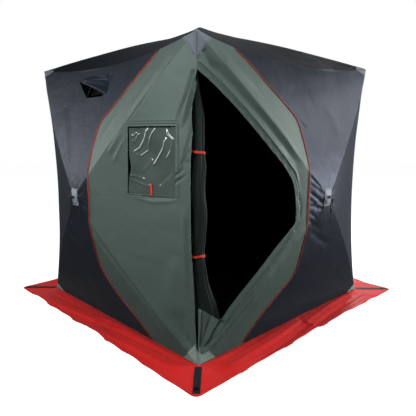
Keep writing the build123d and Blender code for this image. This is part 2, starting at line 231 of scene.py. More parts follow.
def slack(height, size, turn):
    """Loose cloth: a low uneven swell all over."""

    def shape(flat):
        x = flat[:, 0] * math.cos(turn) + flat[:, 1] * math.sin(turn)
        y = flat[:, 1] * math.cos(turn) - flat[:, 0] * math.sin(turn)
        swell = np.sin(x / size + 1.7 * np.sin(y / size / 1.9 + turn)) * np.cos(y / size / 1.3 + 0.8)
        return height * swell

    return shape


def fan(reach, turns, width, height, start=0.035):
    """Short folds that run out from a wall's hub at a few angles."""
    ways = [np.array((math.cos(math.radians(turn)), math.sin(math.radians(turn)))) for turn in turns]
    return [crease([start * way, reach * way], width, height, ends=(0.1, 0.7)) for way in ways]


def creases(on, rows):
    """Creases from rows: a line's points, then what crease takes after its line, which is in metres."""
    return [crease(on(*points), *shape) for points, *shape in rows]


for wall in (*WALLS.values(), ROOF):
    wall.folds.append(slack(0.0022, 0.13, 0.4 + 0.3 * wall.out[0] + 0.2 * wall.out[1]))
    wall.folds += fan(0.17, (198, 213, 229, 246, 262, 279, 297, 314, 331), 0.007, -0.006)
    wall.folds += fan(0.13, (24, 66, 115, 158), 0.008, -0.003)

FRONT.folds += creases(on_front, [
    # the stitched edge that slants down from the corner cap
    (((68, 1754), (160, 1682), (266, 1530), (418, 1366)), 0.009, -0.0065, 0.6),
    (((105, 1780), (205, 1700), (310, 1560), (450, 1400)), 0.030, 0.0087),
    # folds that hang from the cap, beside the doorway
    (
        ((14, 1620), (34, 1566), (58, 1502), (90, 1430), (120, 1354), (150, 1288)),
        0.007, -0.011, 0.8, (0.05, 0.5),
    ),
    (((10, 1600), (26, 1530), (50, 1460), (74, 1390), (100, 1310)), 0.007, 0.009, 1.0, (0.05, 0.4)),
    (
        ((6, 1570), (16, 1514), (32, 1466), (46, 1420), (64, 1364), (88, 1290)),
        0.007, -0.012, 0.8, (0.05, 0.4),
    ),
    (((6, 1540), (16, 1470), (30, 1400), (46, 1310)), 0.007, 0.008, 1.0, (0.1, 0.4)),
    (((20, 1340), (56, 1240), (92, 1120)), 0.008, -0.008, 1.0, (0.3, 0.4)),
    # between the window and the doorway
    (((42, 1215), (104, 1110)), 0.008, -0.0087),
    (((54, 1160), (110, 1080)), 0.008, -0.0087),
    (((262, 975), (152, 1058), (50, 1120)), 0.008, -0.0087, 0.7, (0.3, 0.4)),
    (((230, 950), (130, 1032), (50, 1085)), 0.008, -0.0087, 0.7, (0.3, 0.4)),
    # under the window
    (((480, 954), (296, 936), (118, 944)), 0.009, -0.0051),
    (((480, 972), (296, 912), (118, 926)), 0.010, 0.0043),
    # down the upright beside the doorway
    (((92, 906), (80, 654), (58, 370)), 0.018, 0.0087),
    (((66, 900), (62, 650), (44, 380)), 0.010, -0.0072),
    # left of the window
    (((430, 1288), (550, 1116)), 0.012, 0.0058),
    (((462, 1316), (576, 1174)), 0.012, 0.0058),
    (((560, 1430), (690, 1250)), 0.016, 0.0043),
    # the panel's lower edge and its foot
    (((762, 706), (698, 610), (318, 266), (162, 78)), 0.020, 0.0087, 1.0, (0.1, 0.1)),
    (((120, 620), (170, 420), (150, 220)), 0.05, 0.0087),
    (((96, 300), (90, 190), (40, 80)), 0.014, -0.0087),
    (((150, 300), (120, 190), (60, 90)), 0.014, -0.0058),
    # round the vent
    (((890, 1560), (900, 1690), (850, 1770)), 0.010, 0.0072, 1.0, (0.1, 0.4)),
    (((822, 1568), (876, 1684), (840, 1760)), 0.009, -0.0116, 1.0, (0.1, 0.4)),
    (((796, 1566), (838, 1660), (800, 1750)), 0.010, 0.0087, 1.0, (0.1, 0.4)),
    # broad sags of the dark gores
    (((1180, 700), (1020, 590), (830, 560)), 0.030, 0.0058),
    (((1300, 1500), (1150, 1300), (1020, 1050)), 0.040, 0.0072),
])
FRONT.folds.append(puckers(on_front((14, 1560), (36, 1160), (44, 720), (20, 200)), 0.090, 0.02, 0.0008))
RIGHT.folds += creases(on_right, [
    # along the doorway's upper edge
    (
        ((18, 1652), (180, 1510), (348, 1352), (482, 1214), (616, 1070), (650, 985)),
        0.010, 0.007, 0.6, (0, 0.1),
    ),
    (((40, 1690), (230, 1520), (400, 1360), (540, 1214), (668, 1080)), 0.022, -0.011, 1.0, (0.1, 0.2)),
    (((30, 1716), (90, 1650), (160, 1580)), 0.016, -0.014, 1.0, (0.1, 0.4)),
    (((120, 1720), (340, 1510), (520, 1330), (650, 1180)), 0.055, 0.009, 1.0, (0.1, 0.2)),
    (((644, 940), (662, 860), (655, 770)), 0.009, -0.004),
    # from the piping to the hub
    (((734, 1384), (806, 1320)), 0.006, -0.006, 1.0, (0.3, 0.5)),
    (((732, 1040), (836, 958)), 0.006, -0.008, 0.7, (0.1, 0.3)),
    (((732, 994), (840, 932)), 0.005, -0.006, 0.7, (0.1, 0.3)),
    (((734, 942), (878, 846)), 0.007, -0.009, 0.7, (0.1, 0.3)),
    (((732, 900), (800, 848)), 0.005, -0.005, 1.0, (0.1, 0.3)),
    (((734, 860), (872, 822)), 0.007, -0.007, 1.0, (0.1, 0.3)),
    (((734, 818), (830, 748)), 0.006, -0.005, 1.0, (0.1, 0.4)),
    (((736, 772), (800, 700)), 0.007, -0.004, 1.0, (0.1, 0.4)),
    (((736, 718), (900, 620), (1066, 546)), 0.022, -0.005),
    (((730, 770), (908, 666)), 0.020, -0.004),
    # along the doorway's lower edge
    (((608, 712), (390, 448), (312, 340), (84, 110)), 0.006, 0.0070, 1.0, (0, 0)),
    (((640, 660), (430, 410), (350, 300), (130, 70)), 0.020, -0.003, 1.0, (0.1, 0.1)),
    # a broad sag of the far gore
    (((900, 1640), (1100, 1480), (1200, 1200)), 0.050, 0.005),
    # folds in the foot of the door corner
    (((132, 226), (84, 160), (30, 76)), 0.012, -0.018, 1.0, (0, 0.2)),
    (((84, 310), (52, 190), (20, 70)), 0.009, -0.012, 1.0, (0, 0.2)),
    (((116, 300), (70, 180), (26, 70)), 0.010, 0.011, 1.0, (0, 0.2)),
    (((30, 340), (28, 200), (12, 60)), 0.012, -0.014, 1.0, (0, 0.2)),
])
RIGHT.folds += [
    puckers(on_right((24, 1620), (228, 1445), (440, 1230), (590, 1060)), 0.085, 0.030, 0.0010, 1.3),
    puckers(on_right((600, 1040), (652, 900), (652, 780)), 0.030, 0.022, 0.0011, 1.3),
]
for wall in (BACK, LEFT):
    wall.folds += [
        crease([(-0.55, 0.62), (-0.30, 0.38), (-0.12, 0.16)], 0.030, 0.005),
        crease([(0.60, 0.55), (0.34, 0.30), (0.14, 0.12)], 0.026, -0.004),
        crease([(-0.20, -0.60), (-0.12, -0.36), (-0.05, -0.14)], 0.026, 0.004),
        crease([(0.35, -0.62), (0.20, -0.36), (0.08, -0.15)], 0.024, -0.004),
    ]

FRONT.seams += [
    on_front((84, 1760), (160, 1690), (266, 1540), (412, 1372)),
    on_front((425, 1362), (110, 1360), (112, 944), (478, 928)),
]
RIGHT.seams += [
    on_right(
        (18, 1645), (180, 1503), (348, 1345), (482, 1207), (610, 1064), (642, 985), (655, 880), (652, 775)
    ),
    on_right((648, 745), (398, 446), (320, 338), (92, 108)),
    on_right((616, 735), (376, 450), (300, 348), (72, 118)),
]


# ---- Outlines on the walls ----
def softened(points, rounds=2):
    """An open line with its corners cut round."""
    points = [np.array(p, float) for p in points]
    for _ in range(rounds):
        cut = [points[0]]
        for a, b in zip(points, points[1:]):
            cut += [a * 0.75 + b * 0.25, a * 0.25 + b * 0.75]
        points = [*cut, points[-1]]
    return [tuple(p) for p in points]


def shifted(line, distance):
    """An open line moved to its left."""
    moved = []
    for i, point in enumerate(line):
        before, after = line[max(i - 1, 0)], line[min(i + 1, len(line) - 1)]
        way = np.array(after) - np.array(before)
        way = way / np.hypot(*way)
        moved.append((point[0] - way[1] * distance, point[1] + way[0] * distance))
    return moved


def stitch_line(outline, inset=0.0078):
    """A closed outline drawn in all round, for its line of stitches."""
    points = np.array(outline)
    middle = points.mean(0)
    away = points - middle
    far = np.hypot(*away.T)[:, None]
    inner = middle + away * (far - inset) / far
    return [*map(tuple, inner), tuple(inner[0])]


def rectangle(half_width, half_height):
    """A rectangle round a wall's middle."""
    return [(x * half_width, y * half_height) for x, y in ((-1, -1), (1, -1), (1, 1), (-1, 1))]


def at_corner(side, end, points):
    """The outline of a patch at a wall's corner, from distances in from the corner, in millimetres."""
    return [(side * (HALF - across / 1000), end * (HALF - up / 1000)) for across, up in points]


front_line = softened(on_front(
    (300, 1850), (344, 1798), (432, 1700), (528, 1590), (654, 1456), (742, 1386), (750, 1314), (766, 1154),
    (752, 982), (750, 822), (772, 702), (780, 536), (774, 428), (662, 270), (518, 136), (438, 30), (400, -50)
))
right_line = softened(on_right(
    (250, 1850), (302, 1800), (416, 1708), (512, 1592), (616, 1496), (702, 1408), (718, 1372), (722, 1292),
    (726, 1136), (722, 904), (720, 778), (712, 500), (706, 412), (592, 314), (470, 186), (390, 62), (350, -50)
))
door_upper = softened(on_right(
    (-14, 1632), (24, 1598), (58, 1574), (120, 1520), (228, 1422), (346, 1302), (440, 1202), (522, 1120),
    (578, 1050), (610, 988), (622, 912), (630, 834), (626, 766)
))
door_lower = softened(on_right(
    (626, 766), (590, 724), (508, 650), (422, 560), (296, 432), (200, 332), (130, 240)
))
door_edge = [*door_upper, *door_lower[1:]]
sill = on_right((130, 240), (10, 322), (-80, 384))
pulled_line = softened(on_front(
    (-6, 1690), (-2, 1640), (20, 1466), (28, 1390), (40, 1154), (44, 990), (48, 712), (38, 596), (24, 408),
    (16, 140), (2, 60), (-8, 20)
))
window = on_front((138, 950), (124, 1334), (422, 1336), (448, 952))
vent = on_front((845, 1562), (845, 1640), (1040, 1640), (1040, 1562))
front_green = [(HALF + PAST, HALF + PAST), *front_line, (HALF + PAST, -HALF - PAST)]
right_green = [(-HALF - PAST, HALF + PAST), *right_line, (-HALF - PAST, -HALF - PAST)]
doorway = [*on_right((-50, 1600)), *door_edge, *sill]
beyond_corner = [*on_front((-50, 1700)), *pulled_line, *on_front((-50, 0))]


# ---- Working on a piece ----
def nothing_selected():
    bpy.ops.object.select_all(action="DESELECT")


def only(piece):
    """Makes a piece the one that operators work on."""
    nothing_selected()
    piece.select_set(True)
    bpy.context.view_layer.objects.active = piece


def shape_in_edit_mode(piece, *steps):
    """Runs operators on a piece, selected all over at the start, and then makes its faces agree."""
    only(piece)
    bpy.ops.object.mode_set(mode="EDIT")
    bpy.ops.mesh.select_all(action="SELECT")
    for step in steps:
        step()
    bpy.ops.mesh.select_all(action="SELECT")
    bpy.ops.mesh.normals_make_consistent(inside=False)
    bpy.ops.object.mode_set(mode="OBJECT")


def drop_faces(sheet, dropped):
    """Deletes the faces that are marked True."""
    only(sheet)
    bpy.ops.object.mode_set(mode="EDIT")
    bpy.ops.mesh.select_mode(type="FACE")
    bpy.ops.mesh.select_all(action="DESELECT")
    bpy.ops.object.mode_set(mode="OBJECT")
    sheet.data.polygons.foreach_set("select", dropped)
    bpy.ops.object.mode_set(mode="EDIT")
    bpy.ops.mesh.delete(type="FACE")
    bpy.ops.object.mode_set(mode="OBJECT")


def modified(piece, name, kind, **settings):
    """Adds a modifier and applies it."""
    modifier = piece.modifiers.new(name, kind)
    for key, value in settings.items():
        setattr(modifier, key, value)
    only(piece)
    bpy.ops.object.modifier_apply(modifier=name)


def thicken(piece, thickness, inner_slot=0, offset=-1.0):
    """Gives a sheet its thickness, inward from its outer surface, or outward with an offset of 1."""
    modified(piece, "thickness", "SOLIDIFY", thickness=thickness, offset=offset, material_offset=inner_slot)


def smooth(piece, angle=50):
    only(piece)
    bpy.ops.object.shade_smooth_by_angle(angle=math.radians(angle))


def put(piece, matrix):
    """Moves and turns a piece, and applies that to its mesh."""
    piece.matrix_world = matrix
    only(piece)
    bpy.ops.object.transform_apply(location=True, rotation=True)


def give(piece, *materials):
    piece.data.materials.clear()
    for material in materials:
        piece.data.materials.append(material)


def joined(name, parts):
    """One piece from several meshes."""
    only(parts[0])
    for part in parts:
        part.select_set(True)
    bpy.ops.object.join()
    parts[0].name = name
    return parts[0]


def finish_piece(piece, slot, *replaced):
    """Sets what a piece rides on and hides the frame's nodes that it replaces; its slot is not used."""
    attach(piece, "root")
    if replaced:
        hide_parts(*replaced)


# ---- Sheets ----
def in_outline(points, outline):
    """Whether each point lies inside a closed outline."""
    x, y = points[:, 0], points[:, 1]
    inside = np.zeros(len(points), bool)
    for (x1, y1), (x2, y2) in zip(outline, [*outline[1:], outline[0]]):
        if y1 != y2:
            inside ^= ((y1 > y) != (y2 > y)) & (x < x1 + (y - y1) * (x2 - x1) / (y2 - y1))
    return inside


def read_all(items, key, width, kind=float):
    """One property of all of a mesh's items, as rows of the given width."""
    values = np.empty(len(items) * width, kind)
    items.foreach_get(key, values)
    return values.reshape(-1, width)


def read_points(mesh):
    return read_all(mesh.vertices, "co", 3)


def write_points(mesh, points):
    mesh.vertices.foreach_set("co", np.asarray(points, float).ravel())
    mesh.update()


def open_edge_points(mesh):
    """The numbers of the points on the open edges of a mesh."""
    uses = np.bincount(read_all(mesh.loops, "edge_index", 1, int).ravel(), minlength=len(mesh.edges))
    return np.unique(read_all(mesh.edges, "vertices", 2, int)[uses == 1])


def flat_sheet(name, low, high, cell, keep=(), drop=(), diagonals=True):
    """A flat sheet of square cells in the XY plane, trimmed to the outlines that it keeps and drops.

    Diagonals cut it along the lines of the rods, so that the gores meet in a clean edge.
    """
    nothing_selected()
    width, height = high[0] - low[0], high[1] - low[1]
    bpy.ops.mesh.primitive_grid_add(
        x_subdivisions=max(2, round(width / cell)),
        y_subdivisions=max(2, round(height / cell)),
        size=1,
        calc_uvs=True,
        location=((low[0] + high[0]) / 2, (low[1] + high[1]) / 2, 0),
    )
    sheet = bpy.context.object
    sheet.name = name
    sheet.scale = (width, height, 1)
    bpy.ops.object.transform_apply(location=True, scale=True)
    if diagonals:
        bpy.ops.object.mode_set(mode="EDIT")
        for normal in ((1, -1, 0), (1, 1, 0)):
            bpy.ops.mesh.select_all(action="SELECT")
            bpy.ops.mesh.bisect(plane_co=(0, 0, 0), plane_no=normal)
        bpy.ops.object.mode_set(mode="OBJECT")
    middles = read_all(sheet.data.polygons, "center", 3)[:, :2]
    kept = np.full(len(middles), not keep)
    for outline in keep:
        kept |= in_outline(middles, outline)
    for outline in drop:
        kept &= ~in_outline(middles, outline)
    if not kept.all():
        drop_faces(sheet, ~kept)
    trim(sheet.data, low, high, cell, [*keep, *drop])
    return sheet


def trim(mesh, low, high, cell, outlines):
    """Moves the points on a sheet's open edges onto the outlines that it was cut to."""
    if not outlines:
        return
    points = read_points(mesh)
    edge = open_edge_points(mesh)
    place = points[edge, :2]
    best, target = np.full(len(edge), np.inf), place.copy()
    for outline in outlines:
        for start, end in zip(outline, [*outline[1:], outline[0]]):
            start, way = np.array(start, float), np.array(end, float) - np.array(start, float)
            t = np.clip((place - start) @ way / max(way @ way, 1e-12), 0, 1)
            there = start + np.outer(t, way)
            gap = np.hypot(*(place - there).T)
            nearer = gap < best
            best[nearer], target[nearer] = gap[nearer], there[nearer]
    close = best < 1.3 * cell  # an open edge that lies farther off belongs to no outline
    for axis in (0, 1):
        on_side = (np.abs(place[:, axis] - low[axis]) < 1e-5) | (np.abs(place[:, axis] - high[axis]) < 1e-5)
        target[:, axis] = np.where(on_side, place[:, axis], target[:, axis])
    points[edge[close], :2] = target[close]
    write_points(mesh, points)


def keep_flat_map(mesh, seams=()):
    """Stores each point's flat place as the UV map, in metres, and its place beside the nearest seam."""
    flat = read_points(mesh)[:, :2]
    corners = read_all(mesh.loops, "vertex_index", 1, int).ravel()
    layer = mesh.uv_layers[0] if mesh.uv_layers else mesh.uv_layers.new(name="UVMap")
    layer.data.foreach_set("uv", flat[corners].ravel())
    aside, along = np.ones(len(flat)), np.zeros(len(flat))
    for seam in seams:
        run, gap, _ = beside(flat, seam)
        nearer = np.abs(gap) < np.abs(aside)
        aside[nearer], along[nearer] = gap[nearer], run[nearer]
    stitched = mesh.attributes.new("seam", "FLOAT_VECTOR", "POINT")
    stitched.data.foreach_set("vector", np.stack([aside, along, np.zeros(len(flat))], 1).ravel())


def lay_on(sheet, wall, seams, proud=0.0):
    """Lays a flat sheet over a wall."""
    keep_flat_map(sheet.data, seams)
    write_points(sheet.data, stretched(wall, read_points(sheet.data)[:, :2], proud))


def unit_grid(name, columns, rows):
    """A square grid with its flat map kept, and how far its points lie across and up it, from 0 to 1."""
    nothing_selected()
    bpy.ops.mesh.primitive_grid_add(x_subdivisions=columns, y_subdivisions=rows, size=2)
    sheet = bpy.context.object
    sheet.name = name
    keep_flat_map(sheet.data)
    grid = read_points(sheet.data)
    return sheet, (grid[:, 0] + 1) / 2, (grid[:, 1] + 1) / 2


def face_area(piece):
    return sum(face.area for face in piece.data.polygons)


# ---- Materials ----
def linear(hex_colour):
    """An sRGB hex colour as linear RGBA."""
    values = [int(hex_colour[i : i + 2], 16) / 255 for i in (1, 3, 5)]
    return [v / 12.92 if v <= 0.04045 else ((v + 0.055) / 1.055) ** 2.4 for v in values] + [1]


def node(owner, kind, inputs=(), **settings):
    """Adds a node to a material or world with its settings, and sets or links its inputs."""
    made = owner.node_tree.nodes.new(f"ShaderNode{kind}")
    for key, value in settings.items():
        setattr(made, key, value)
    for socket, value in dict(inputs).items():
        if isinstance(value, bpy.types.NodeSocket):
            owner.node_tree.links.new(value, made.inputs[socket])
        else:
            made.inputs[socket].default_value = value
    return made


def empty_material(name):
    """A new material without nodes, and the function that adds nodes to it."""
    material = bpy.data.materials.new(name)
    material.use_nodes = True
    material.node_tree.nodes.clear()
    return material, partial(node, material)


def band_scale(spacing):
    """The scale of a diagonal wave pattern with bands this far apart on a flat piece."""
    return 2 * math.pi / (10 * math.sqrt(2) * spacing)


# Sizes of the cloth's patterns, in metres. A noise's scale is one over the size of its blotches. The weave
# and the sewing thread are drawn about four times too coarse, because at their real size they wouldn't show.
WEAVE = 0.00227
CLOUD = 0.385
BILLOW = 0.143
RUMPLE = 0.0294
GATHER = 0.01818
HALF_STITCH = 0.0045  # half the distance from one stitch to the next
HALF_GAP = 0.0016  # half the bare length between two stitches
HALF_THREAD = 0.0014
GROOVE = 0.006  # how far to each side a seam draws the cloth in
GATHERED = 0.022  # how far to each side it gathers the cloth


def coated_cloth(
    name, light, dark, roughness=0.6, specular=0.4, crumple=0.30, sheen=0.05, thread="#3d4744",
    gleam="#ffffff", bounced=None,
):
    """Coated polyester: a close plain weave under a thin coat, with a soft gloss, small crumples and
    stitched seams that draw the cloth in. gleam tints the gloss, and bounced is the colour that the other
    pieces are lit with."""
    material, add = empty_material(name)
    place = add("TexCoord").outputs["Object"]
    flat = add("TexCoord").outputs["UV"]
    seam = add("Attribute", attribute_name="seam", attribute_type="GEOMETRY").outputs["Vector"]
    split = add("SeparateXYZ", {0: seam})
    gap = add("Math", {0: split.outputs["X"]}, operation="ABSOLUTE").outputs[0]

    # colour: faintly cloudy, with a dashed line of thread along each seam
    clouds = {"Vector": place, "Scale": 1 / CLOUD, "Detail": 4.0, "Roughness": 0.6}
    cloudy = add("TexNoise", clouds).outputs["Fac"]
    colour = add("Mix", {0: cloudy, 6: linear(dark), 7: linear(light)}, data_type="RGBA")
    dash = add("Math", {0: split.outputs["Y"], 1: HALF_STITCH}, operation="PINGPONG").outputs[0]
    stitch = add("Math", {0: dash, 1: HALF_GAP}, operation="GREATER_THAN").outputs[0]
    line = add("Math", {0: gap, 1: HALF_THREAD}, operation="LESS_THAN").outputs[0]
    sewn = add("Math", {0: stitch, 1: line}, operation="MULTIPLY").outputs[0]
    colour = add("Mix", {0: sewn, 6: colour.outputs[2], 7: linear(thread)}, data_type="RGBA")
    if bounced:
        rays = add("LightPath").outputs
        lighting = add("Math", {0: rays["Is Diffuse Ray"], 1: rays["Is Glossy Ray"]}, operation="MAXIMUM")
        inputs = {0: lighting.outputs[0], 6: colour.outputs[2], 7: linear(bounced)}
        colour = add("Mix", inputs, data_type="RGBA")

    # relief: the weave, crumples and broad billows, and the seams with the gathers beside them
    even = {"interpolation_type": "SMOOTHSTEP"}
    groove = add("MapRange", {"Value": gap, "From Max": GROOVE}, **even).outputs[0]
    nearness = {"Value": gap, "From Max": GATHERED, "To Min": 1.0, "To Max": 0.0}
    near = add("MapRange", nearness, **even).outputs[0]
    gather = add("TexNoise", {"Vector": seam, "Scale": 1 / GATHER, "Detail": 1.0}).outputs["Fac"]
    gathered = add("Math", {0: gather, 1: near}, operation="MULTIPLY").outputs[0]
    drawn_in = add("Math", {0: gathered, 1: 1.2, 2: groove}, operation="MULTIPLY_ADD").outputs[0]
    weave = add(
        "TexWave",
        {"Vector": flat, "Scale": band_scale(WEAVE), "Distortion": 0.5, "Detail": 1.0},
        bands_direction="DIAGONAL",
    )
    billow = add("TexNoise", {"Vector": place, "Scale": 1 / BILLOW, "Detail": 2.0, "Distortion": 0.4})
    rumple = add("TexNoise", {"Vector": place, "Scale": 1 / RUMPLE, "Detail": 4.0, "Roughness": 0.6})
    bump = add("Bump", {"Strength": 0.05, "Distance": 0.0006, "Height": weave.outputs["Fac"]})
    for strength, distance, height in (
        (crumple, 0.004, rumple.outputs["Fac"]),
        (crumple, 0.02, billow.outputs["Fac"]),
        (0.8, 0.0016, drawn_in),
    ):
        relief = {"Strength": strength, "Distance": distance, "Height": height}
        bump = add("Bump", {**relief, "Normal": bump.outputs["Normal"]})

    worn = add("MapRange", {"Value": cloudy, "To Min": roughness - 0.05, "To Max": roughness + 0.06})
    shader = add("BsdfPrincipled", {
        "Base Color": colour.outputs[2],
        "Roughness": worn.outputs[0],
        "Specular IOR Level": specular,
        "Specular Tint": linear(gleam),
        "Sheen Weight": sheen,
        "Sheen Roughness": 0.4,
        "Normal": bump.outputs["Normal"],
    })
    add("OutputMaterial", {"Surface": shader.outputs[0]})
    return material


def plain_finish(
    name, light, dark, roughness, cloud, relief=None, strength=0.3, depth=0.0005, metallic=0.0, specular=0.5
):
    """A finish with faint blotches of colour, as large as cloud, and one relief.

    The relief is a texture node's kind, inputs and settings. Without one, the blotches are the relief too.
    """
    material, add = empty_material(name)
    place = add("TexCoord").outputs["Object"]
    cloudy = add("TexNoise", {"Vector": place, "Scale": 1 / cloud, "Detail": 3.0})
    colour = add("Mix", {0: cloudy.outputs["Fac"], 6: linear(dark), 7: linear(light)}, data_type="RGBA")
    height = cloudy
    if relief:
        kind, inputs, settings = relief
        height = add(kind, {"Vector": place, **inputs}, **settings)
    bump = add("Bump", {"Strength": strength, "Distance": depth, "Height": height.outputs["Fac"]})
    shader = add("BsdfPrincipled", {
        "Base Color": colour.outputs[2],
        "Roughness": roughness,
        "Metallic": metallic,
        "Specular IOR Level": specular,
        "Normal": bump.outputs["Normal"],
    })
    add("OutputMaterial", {"Surface": shader.outputs[0]})
    return material


def webbing(name, light, dark):
    """Woven nylon tape or braid: slanting ribs 1.7 mm apart, matt with a faint thread gloss."""
    ribs = ("TexWave", {"Scale": band_scale(0.00171), "Distortion": 1.0}, {"bands_direction": "DIAGONAL"})
    return plain_finish(name, light, dark, 0.6, 0.0455, ribs, strength=0.35, depth=0.0006)


def hard(name, light, dark, roughness, metallic=0.0, specular=0.5):
    """A moulded, drawn or painted part with a faintly uneven, handled surface."""
    return plain_finish(name, light, dark, roughness, 0.01667, metallic=metallic, specular=specular)


# Wall cloth, coated on the outside: near black where it is seen square on, and blue-grey where light
# grazes the coat.
CHARCOAL = coated_cloth(
    "charcoal_coated_polyester", "#1d232b", "#161a21", roughness=0.45, specular=0.23, thread="#14181e",
    gleam="#b4ccff",
)
# Roof cloth of the same make, its colour painted darker than the walls' cloth as painted shade, and with
# little gloss, so that the sky hardly shows in it.
SHADED_ROOF_CLOTH = coated_cloth(
    "roof_polyester_painted_shade", "#0e121b", "#090c13", roughness=0.7, specular=0.06, sheen=0.0
)
# Cloth of the door corner: grey-green with a satin coat that pales each fold's lit side.
SAGE = coated_cloth(
    "sage_coated_polyester", "#4f5c57", "#45534e", roughness=0.5, specular=0.38, thread="#2b3632",
    gleam="#e6fff4",
)
# The same cloth rolled up, its colour painted much darker than the panel's as painted shade, with close
# crumples.
SHADED_DOOR_SAGE = coated_cloth(
    "door_sage_polyester_painted_shade", "#1c2723", "#121a17", roughness=0.6, crumple=0.45, specular=0.2
)
# Skirt cloth: strong red, crumpled from lying loose, with a soft gloss on its ripples.
RED = coated_cloth(
    "red_coated_polyester", "#da2623", "#bc1b1b", roughness=0.45, crumple=0.45, specular=0.3,
    thread="#8a1512", bounced="#3c100e",
)
# Heavy Oxford cloth that takes the wear at the rods' ends and at the hubs: matt, in three greys.
PATCH_GREY = coated_cloth("grey_oxford_patch", "#646a74", "#565c65")
HUB_GREY = coated_cloth("pale_grey_oxford_patch", "#8d94a0", "#7c838f")
FOOT_GREY = coated_cloth("pale_sage_oxford_patch", "#93a59b", "#82948a")
# The cloth's uncoated black inner face, which leaves the inside of the hut dark.
LINING = hard("black_cloth_lining", "#060606", "#030303", 0.95, specular=0.1)
# Woven tape and cord: matt, the red ones a thin bright line along the seams and round the rolled door.
PIPING = webbing("red_piping_cord", "#942718", "#6e1b12")
RED_TAPE = webbing("red_woven_tape", "#cc3522", "#ac2618")
STRAP = webbing("black_nylon_webbing", "#111113", "#09090a")
BRAID = webbing("black_braided_cord", "#08080a", "#040405")
# Fine polyester mesh, so dark that only its outline shows.
MESH = hard("black_vent_mesh", "#040404", "#020202", 0.9, specular=0.1)
# Soft PVC film over the closed inner flap: glossy and wavy, so that it catches sharp lights.
FILM = plain_finish(
    "soft_pvc_film", "#586561", "#394340", 0.07, 0.111, strength=0.35, depth=0.006, specular=1.0,
    relief=("TexNoise", {"Scale": 1 / 0.0625, "Detail": 2.0}, {}),
)
# Nylon moulded in black: a dull shine.
NYLON = hard("black_moulded_nylon", "#161616", "#0e0e0e", 0.45)
# Drawn fibreglass: dark grey and smoother than the nylon.
ROD = hard("dark_fibreglass_rod", "#2a2c2f", "#202224", 0.35)
# Blackened steel: a dark metal gleam.
EYELET = hard("blackened_steel_eyelet", "#3a3a3c", "#1c1c1e", 0.35, metallic=1.0)


# ---- Pull cords and loops at the hubs ----
def curve_through(name, places, radius, steps, roundness, closed=False):
    """A round cord that runs smoothly along a few places."""
    curve = bpy.data.curves.new(name, "CURVE")
    curve.dimensions = "3D"
    curve.resolution_u = steps
    curve.bevel_depth = radius
    curve.bevel_resolution = roundness
    curve.use_fill_caps = not closed
    spline = curve.splines.new("NURBS")
    spline.points.add(len(places) - 1)
    for point, place in zip(spline.points, places):
        point.co = (*place, 1)
    spline.order_u = 3
    spline.use_endpoint_u = not closed
    spline.use_cyclic_u = closed
    piece = bpy.data.objects.new(name, curve)
    bpy.context.collection.objects.link(piece)
    return piece


def made_mesh(piece):
    only(piece)
    bpy.ops.object.convert(target="MESH")


def overhand_knot(name, place, turn):
    """An overhand knot pulled tight, as a closed three-lobed curve."""
    wide, deep, high = 0.0013, 0.0022, 0.0015
    strand = CORD * 0.42  # its radius, less than half the cord, because the pull draws it thin
    turns = [2 * math.pi * i / 15 for i in range(15)]
    route = [
        (
            wide * (math.sin(t) + 2 * math.sin(2 * t)),
            -deep * math.sin(3 * t),
            high * (math.cos(t) - 2 * math.cos(2 * t)),
        )
        for t in turns
    ]
    knot = curve_through(name, route, strand, steps=6, roundness=2, closed=True)
    made_mesh(knot)
    put(knot, Matrix.Translation(place) @ Matrix.Rotation(turn, 4, "Z"))
    smooth(knot)
    give(knot, BRAID)
    return knot


# The routes of the frame's own cords, across and up from the foot of the pull loop, and their lengths.
CORDS = {
    "long": ([(0.006, -0.008), (0.010, -0.058), (-0.004, -0.106), (-0.001, -0.152)], 0.146),
    "short": ([(-0.007, -0.008), (-0.013, -0.046), (-0.009, -0.082)], 0.0745),
}
for quarter, (wall_name, wall) in enumerate(WALLS.items()):
    for cord_name, (route, length) in CORDS.items():
        name = f"{wall_name}_cord_{cord_name}"
        places = [place_on(wall, across, up - LOOP_FOOT, LOOP_OUT) for across, up in route]
        cord = curve_through(f"{name}_braid", places, CORD / 2, steps=12, roundness=3)
        give(cord, BRAID)
        top = overhand_knot(f"{name}_top_knot", places[0], quarter * math.pi / 2)
        foot = overhand_knot(f"{name}_end_knot", places[-1], quarter * math.pi / 2 + 0.8)
        for piece in (cord, top, foot):
            finish_piece(piece, "black_cord")
        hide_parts(name)


def tape_ring(points, radius, step, steps):
    """A ring of tape as one strip of faces, raised from its lower edge in a few steps."""
    nothing_selected()
    bpy.ops.mesh.primitive_circle_add(vertices=points, radius=radius)
    ring = bpy.context.object
    raise_edge = partial(bpy.ops.mesh.extrude_edges_move, TRANSFORM_OT_translate={"value": (0, 0, step)})
    shape_in_edit_mode(ring, *[raise_edge] * steps)
    return ring


def pull_loop(place, axis):
    """A short ring of webbing, slightly pulled out of round."""
    radius, half_width, thickness = 0.0128, 0.006, 0.0026
    ring = tape_ring(36, radius, half_width, 2)
    thicken(ring, thickness)
    modified(ring, "worn_edge", "BEVEL", width=0.0007, segments=2)
    points = read_points(ring.data)
    points[:, 2] -= half_width
    points[:, 0] *= 0.96 + 6.0 * points[:, 1]
    write_points(ring.data, points)
    put(ring, Matrix.Translation(place) @ Vector(axis).to_track_quat("Z", "Y").to_matrix().to_4x4())
    smooth(ring)
    give(ring, STRAP)
    return ring


loops = [pull_loop(place_on(wall, 0, 0, LOOP_OUT), wall.across) for wall in WALLS.values()]
loops = joined("webbing_pull_loops", [*loops, pull_loop(ROOF_LOOP, (0, 0, 1))])
finish_piece(loops, "black_webbing", "pull_loops")


